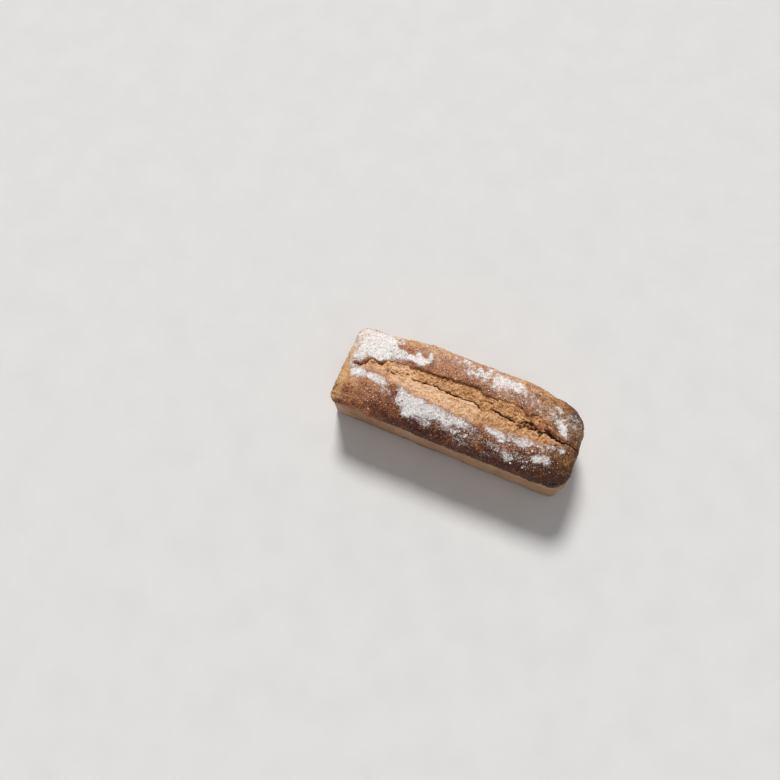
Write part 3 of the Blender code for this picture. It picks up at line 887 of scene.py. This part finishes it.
def new_material(name):
    """A material with its node tree and its shader."""
    material = bpy.data.materials.new(name)
    material.use_nodes = True
    return material, material.node_tree, material.node_tree.nodes["Principled BSDF"]


def attribute(tree, name):
    node = tree.nodes.new("ShaderNodeAttribute")
    node.attribute_name = name
    return node.outputs["Fac"]


def noise_at(tree, size, detail=2.0, roughness=0.5, stretch=None):
    """Noise whose lumps are about size metres across, from 0 to 1."""
    place = tree.nodes.new("ShaderNodeTexCoord").outputs["Object"]
    if stretch:
        scaled = add_node(tree, "ShaderNodeMapping", Scale=stretch)
        tree.links.new(place, scaled.inputs["Vector"])
        place = scaled.outputs["Vector"]
    node = add_node(tree, "ShaderNodeTexNoise", Scale=1.0 / size, Detail=detail, Roughness=roughness)
    tree.links.new(place, node.inputs["Vector"])
    return node.outputs["Fac"]


def connect(tree, value, socket):
    """Give a socket a number or the output of another node."""
    if isinstance(value, (int, float)):
        socket.default_value = value
    else:
        tree.links.new(value, socket)


def math_node(tree, operation, *values, clamp=False):
    node = tree.nodes.new("ShaderNodeMath")
    node.operation = operation
    node.use_clamp = clamp
    for value, socket in zip(values, node.inputs):
        connect(tree, value, socket)
    return node.outputs["Value"]


def ramp(tree, factor, stops):
    """A colour ramp through (position, colour) stops."""
    node = tree.nodes.new("ShaderNodeValToRGB")
    elements = node.color_ramp.elements
    while len(elements) < len(stops):
        elements.new(0.5)
    for element, (position, colour) in zip(elements, stops):
        element.position = position
        element.color = (*colour, 1.0)
    tree.links.new(factor, node.inputs["Fac"])
    return node.outputs["Color"]


def total(tree, *values):
    result = values[0]
    for value in values[1:]:
        result = math_node(tree, "ADD", result, value)
    return result


def weighted(tree, value, weight):
    return math_node(tree, "MULTIPLY", value, weight)


def step_between(tree, value, start, end, weight=1.0):
    """0 below start, the weight above end, smooth between."""
    node = tree.nodes.new("ShaderNodeMapRange")
    node.interpolation_type = "SMOOTHSTEP"
    for name, number in (("From Min", start), ("From Max", end)):
        node.inputs[name].default_value = number
    tree.links.new(value, node.inputs["Value"])
    return weighted(tree, node.outputs["Result"], weight)


def mix_colour(tree, factor, first, second, blend="MIX"):
    node = tree.nodes.new("ShaderNodeMix")
    node.data_type = "RGBA"
    node.blend_type = blend
    connect(tree, factor, node.inputs["Factor"])
    for colour, number in zip((first, second), MIX_COLOURS_IN):
        if isinstance(colour, tuple):
            node.inputs[number].default_value = (*colour, 1.0)
        else:
            tree.links.new(colour, node.inputs[number])
    return node.outputs[MIX_COLOUR_OUT]


def spots(tree, kinds, stretch=None):
    """Several kinds of noise added up, each a change of either sign."""
    values = []
    for size, detail, roughness, weight in kinds:
        level = noise_at(tree, size, detail, roughness, stretch)
        change = math_node(tree, "SUBTRACT", level, NOISE_MEAN)
        values.append(weighted(tree, change, weight))
    return total(tree, *values)


def bumps(tree, kinds):
    """Several kinds of noise added up, each from 0 to its weight."""
    return total(tree, *[weighted(tree, noise_at(tree, *kind), weight) for *kind, weight in kinds])


def pores(tree, kind):
    """Scattered pits, where noise of one kind is high."""
    size, detail, roughness, *step = kind
    return step_between(tree, noise_at(tree, size, detail, roughness), *step)


def flour_cover(tree):
    """How much of the crust the flour hides: a thin veil, and grains that stand close or apart."""
    amount = total(tree, attribute(tree, "flour"), spots(tree, FLOUR_EDGE_SPOTS))
    veil = step_between(tree, amount, *FLOUR_VEIL)
    grains = step_between(tree, total(tree, amount, spots(tree, FLOUR_GRAIN_SPOTS)), *FLOUR_SPECKLE)
    specks = step_between(tree, total(tree, attribute(tree, "dust"), spots(tree, DUST_SPOTS)), *DUST_SPECKLE)
    cover = math_node(tree, "MAXIMUM", math_node(tree, "MAXIMUM", veil, grains), specks)
    cracked = step_between(tree, attribute(tree, "painted_shade"), *BARE_IN_CRACKS)
    bare = total(tree, pores(tree, FLOUR_PORES), cracked)
    return math_node(tree, "MULTIPLY", cover, math_node(tree, "SUBTRACT", 1.0, bare, clamp=True))


def flour_colour(tree, cover):
    """White powder, tinted by the crust where it lies thin."""
    whiter = weighted(tree, attribute(tree, "flour"), FLOUR_WHITENING)
    return ramp(tree, total(tree, cover, whiter, spots(tree, FLOUR_TONE_SPOTS)), FLOUR_STOPS)


def crust_colour(tree):
    """Brown crust, mottled at several scales, more so where it is dark."""
    bake_and_shade = attribute(tree, "bake_and_shade")
    least, growth = CRUST_SPOT_GAIN
    gain = total(tree, weighted(tree, bake_and_shade, growth), least)
    tone = total(tree, bake_and_shade, math_node(tree, "MULTIPLY", spots(tree, CRUST_SPOTS), gain))
    golden = attribute(tree, "golden")
    return mix_colour(tree, golden, ramp(tree, tone, CRUST_STOPS), ramp(tree, tone, GOLDEN_STOPS))


def crumb_colour(tree):
    """Torn crumb: lengthwise fibres, fine grain and dark pits."""
    streaks = spots(tree, CRUMB_STREAKS, CRUMB_STREAK_SCALE)
    tone = total(tree, attribute(tree, "torn"), streaks, spots(tree, CRUMB_SPOTS), pores(tree, CRUMB_PITS))
    return ramp(tree, tone, CRUMB_STOPS)


def tin_cover(tree):
    """1 on the sides that the tin covered, with a ragged edge against the crust."""
    return step_between(tree, total(tree, attribute(tree, "tin"), spots(tree, TIN_EDGE_SPOTS)), *TIN_COVER)


def tin_pores(tree):
    """Scattered pinholes, from 0 to 1."""
    return math_node(tree, "MAXIMUM", pores(tree, TIN_COARSE_PORES), pores(tree, TIN_FINE_PORES))


def tin_colour(tree):
    """Sides that the tin covered: pale brown, browner near the bottom, with faint streaks and pores."""
    streaks = spots(tree, TIN_STREAKS, TIN_STREAK_SCALE)
    tone = total(tree, attribute(tree, "side"), spots(tree, TIN_SPOTS), streaks,
                 weighted(tree, tin_pores(tree), -TIN_PORE_TONE))
    return ramp(tree, tone, TIN_STOPS)


def surface_height(tree, cover, tin):
    """Fine relief: wrinkles and flour on the crust, soft wrinkles and pinholes on the tin sides."""
    crust = total(tree, bumps(tree, CRUST_BUMPS), weighted(tree, cover, FLOUR_BUMP))
    side = total(tree, bumps(tree, TIN_BUMPS), weighted(tree, tin_pores(tree), -TIN_PORE_DEPTH))
    change = math_node(tree, "SUBTRACT", side, crust)
    return total(tree, crust, math_node(tree, "MULTIPLY", tin, change))


def add_bump(tree, height, shader, strength, distance):
    bump = add_node(tree, "ShaderNodeBump", Strength=strength, Distance=distance)
    tree.links.new(height, bump.inputs["Height"])
    tree.links.new(bump.outputs["Normal"], shader.inputs["Normal"])


def loaf_material():
    """Crust, crumb, tin side and flour in one material, told apart by the mesh's own values."""
    material, tree, shader = new_material("loaf_crust")
    crumb = attribute(tree, "crumb")
    tin = tin_cover(tree)
    cover = flour_cover(tree)
    colour = mix_colour(tree, crumb, crust_colour(tree), crumb_colour(tree))
    # Painted shade darkens the colour in cracks, holes, under the lip and in the groove
    colour = mix_colour(tree, attribute(tree, "painted_shade"), colour, PAINTED_SHADE_COLOUR)
    colour = mix_colour(tree, tin, colour, tin_colour(tree))
    colour = mix_colour(tree, cover, colour, flour_colour(tree, cover))
    tree.links.new(colour, shader.inputs["Base Color"])
    roughness = total(tree, weighted(tree, cover, FLOUR_ROUGHENING), weighted(tree, crumb, CRUMB_ROUGHENING),
                      ROUGHNESS)
    tree.links.new(roughness, shader.inputs["Roughness"])
    shader.inputs["Specular IOR Level"].default_value = SPECULAR
    add_bump(tree, surface_height(tree, cover, tin), shader, BUMP_STRENGTH, BUMP_DISTANCE)
    return material


def grain_material(name, dark, light):
    """Powdery grains whose tone differs from one to the next."""
    material, tree, shader = new_material(name)
    tone = noise_at(tree, GRAIN_TONE_SIZE)
    tree.links.new(ramp(tree, tone, list(zip(GRAIN_TONES, (dark, light)))), shader.inputs["Base Color"])
    add_bump(tree, noise_at(tree, GRAIN_BUMP_SIZE), shader, GRAIN_BUMP_STRENGTH, GRAIN_BUMP_DISTANCE)
    shader.inputs["Roughness"].default_value = GRAIN_ROUGHNESS
    return material


def random_turns(rng, count):
    """Random rotations, as one 3 by 3 matrix for each grain."""
    w, x, y, z = rng.normal(size=(count, 4)).T
    length = np.sqrt(w * w + x * x + y * y + z * z)
    w, x, y, z = w / length, x / length, y / length, z / length
    rows = [[1 - 2 * (y * y + z * z), 2 * (x * y - z * w), 2 * (x * z + y * w)],
            [2 * (x * y + z * w), 1 - 2 * (x * x + z * z), 2 * (y * z - x * w)],
            [2 * (x * z - y * w), 2 * (y * z + x * w), 1 - 2 * (x * x + y * y)]]
    return np.moveaxis(np.array(rows), 2, 0)


def surface_picks(skin, chance_of_points, rng, count):
    """Random points on the loaf's skin, with their normals, where the chance is high."""
    mesh = skin.data
    mesh.calc_loop_triangles()
    corners = np.empty(len(mesh.loop_triangles) * 3, dtype=np.int32)
    mesh.loop_triangles.foreach_get("vertices", corners)
    corners = corners.reshape(-1, 3)
    places = np.empty(len(mesh.vertices) * 3)
    mesh.vertices.foreach_get("co", places)
    places = places.reshape(-1, 3)
    a, b, c = (places[corners[:, n]] for n in range(3))
    normals = np.cross(b - a, c - a)
    areas = np.linalg.norm(normals, axis=1)
    chance = areas * np.maximum(0.0, chance_of_points[corners].mean(axis=1))
    picked = rng.choice(len(corners), size=count, p=chance / chance.sum())
    s, t = rng.random(count), rng.random(count)
    outside = s + t > 1
    s[outside], t[outside] = 1 - s[outside], 1 - t[outside]
    points = a[picked] + s[:, None] * (b - a)[picked] + t[:, None] * (c - a)[picked]
    return points, normals[picked] / areas[picked][:, None]


def add_object(name, data):
    thing = bpy.data.objects.new(name, data)
    bpy.context.scene.collection.objects.link(thing)
    return thing


def skin_values(skin, name):
    values = np.empty(len(skin.data.vertices))
    skin.data.attributes[name].data.foreach_get("value", values)
    return values


def scatter_grains(name, skin, chance, kind):
    """Small uneven lumps joined into one mesh that lies on the loaf's skin."""
    count, radii, colours, slot, seed = kind
    rng = np.random.default_rng(seed)
    ball = bmesh.new()
    bmesh.ops.create_icosphere(ball, subdivisions=1, radius=1.0)
    ball_points = np.array([vert.co for vert in ball.verts])
    ball_faces = np.array([[vert.index for vert in face.verts] for face in ball.faces])
    ball.free()
    points, normals = surface_picks(skin, chance, rng, count)
    radius = mix(radii[0], radii[1], rng.random(count) ** GRAIN_SMALLNESS)[:, None]
    shapes = ball_points[None] * rng.uniform(*GRAIN_SQUASH, (count, 1, 3))
    shapes = shapes * rng.uniform(*GRAIN_UNEVENNESS, (count, len(ball_points), 1)) * radius[:, :, None]
    shapes = np.einsum("nij,nkj->nki", random_turns(rng, count), shapes)
    shapes = shapes + (points + normals * radius * GRAIN_RISE)[:, None]
    faces = ball_faces[None] + np.arange(count)[:, None, None] * len(ball_points)
    mesh = bpy.data.meshes.new(name)
    mesh.from_pydata(shapes.reshape(-1, 3), [], faces.reshape(-1, 3).tolist())
    mesh.shade_smooth()
    mesh.materials.append(grain_material(name.removesuffix("s"), *colours))
    grains = add_object(name, mesh)
    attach(grains, "root")


def make_loaf():
    body = bmesh.new()
    square = make_crown_sheet(body)
    make_sides(body, square)
    bmesh.ops.recalc_face_normals(body, faces=body.faces)
    add_relief(body, square)
    fit_to_solid(body)
    body.verts.layers.float_vector.remove(square)
    mesh = bpy.data.meshes.new("loaf_skin")
    body.to_mesh(mesh)
    body.free()
    mesh.shade_smooth()
    mesh.materials.append(loaf_material())
    skin = add_object("loaf_skin", mesh)
    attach(skin, "root")
    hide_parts("loaf")
    return skin


def loaf_frame_point(x, y, z):
    """Turn a point of the camera's level frame into the loaf's frame."""
    turn = Matrix.Rotation(-LOAF_YAW, 3, "Z")
    return turn @ Vector((x - LOAF_PLACE[0], y - LOAF_PLACE[1], z))


def make_camera():
    data = bpy.data.cameras.new("camera")
    data.sensor_width = SENSOR_WIDTH
    data.lens = SENSOR_WIDTH * FOCAL_PIXELS / IMAGE_SIZE
    camera = add_object("camera", data)
    camera.location = loaf_frame_point(0.0, -CAMERA_DISTANCE * math.cos(CAMERA_ELEVATION),
                                       CAMERA_DISTANCE * math.sin(CAMERA_ELEVATION))
    target = loaf_frame_point(0.0, 0.0, 0.0)
    level_right = loaf_frame_point(1.0, 0.0, 0.0) - target
    back = (camera.location - target).normalized()
    up = back.cross(level_right)
    camera.rotation_euler = Matrix((level_right, up, back)).transposed().to_euler()
    bpy.context.scene.camera = camera


def sun_light(name, direction, strength, spread, colour):
    """Even, soft light from a direction of the camera's level frame."""
    data = bpy.data.lights.new(name, "SUN")
    data.energy = strength
    data.angle = math.radians(spread)
    data.color = colour
    lamp = add_object(name, data)
    towards = loaf_frame_point(*direction) - loaf_frame_point(0.0, 0.0, 0.0)
    lamp.rotation_euler = towards.to_track_quat("Z", "Y").to_euler()


def make_world():
    """Plain soft surroundings, paler near the horizon, where they meet the floor."""
    world = bpy.data.worlds.new("studio")
    world.use_nodes = True
    tree = world.node_tree
    direction = tree.nodes.new("ShaderNodeTexCoord").outputs["Generated"]
    parts = tree.nodes.new("ShaderNodeSeparateXYZ")
    tree.links.new(direction, parts.inputs["Vector"])
    tone = ramp(tree, parts.outputs["Z"], BACKDROP_STOPS)
    tree.links.new(tone, tree.nodes["Background"].inputs["Color"])
    bpy.context.scene.world = world


def make_lights():
    sun_light(*WINDOW_LIGHT)
    sun_light(*FILL_LIGHT)
    make_world()
    bpy.context.scene.view_settings.view_transform = "Standard"


def floor_material():
    material, tree, shader = new_material("pale_floor")
    tone = ramp(tree, noise_at(tree, FLOOR_CLOUD_SIZE), FLOOR_STOPS)
    tree.links.new(tone, shader.inputs["Base Color"])
    shader.inputs["Roughness"].default_value = FLOOR_ROUGHNESS
    return material


def make_floor():
    mesh = bpy.data.meshes.new("floor")
    sheet = bmesh.new()
    bmesh.ops.create_grid(sheet, x_segments=1, y_segments=1, size=FLOOR_HALF_SIZE)
    sheet.to_mesh(mesh)
    sheet.free()
    mesh.materials.append(floor_material())
    floor = add_object("floor", mesh)


def make_grains(skin):
    flour, dust, crumb = (skin_values(skin, name) for name in ("flour", "dust", "crumb"))
    loose = dust ** 2 + GRAINS_IN_FLOUR * flour
    scatter_grains("flour_grains", skin, loose, FLOUR_GRAINS)
    scatter_grains("flour_clumps", skin, dust ** 2, FLOUR_CLUMPS)
    torn = crumb * (CRUMBS_OUTSIDE_CRACKS + skin_values(skin, "painted_shade"))
    scatter_grains("crumb_bits", skin, torn, CRUMB_BITS)


make_floor()
make_grains(make_loaf())
make_camera()
make_lights()
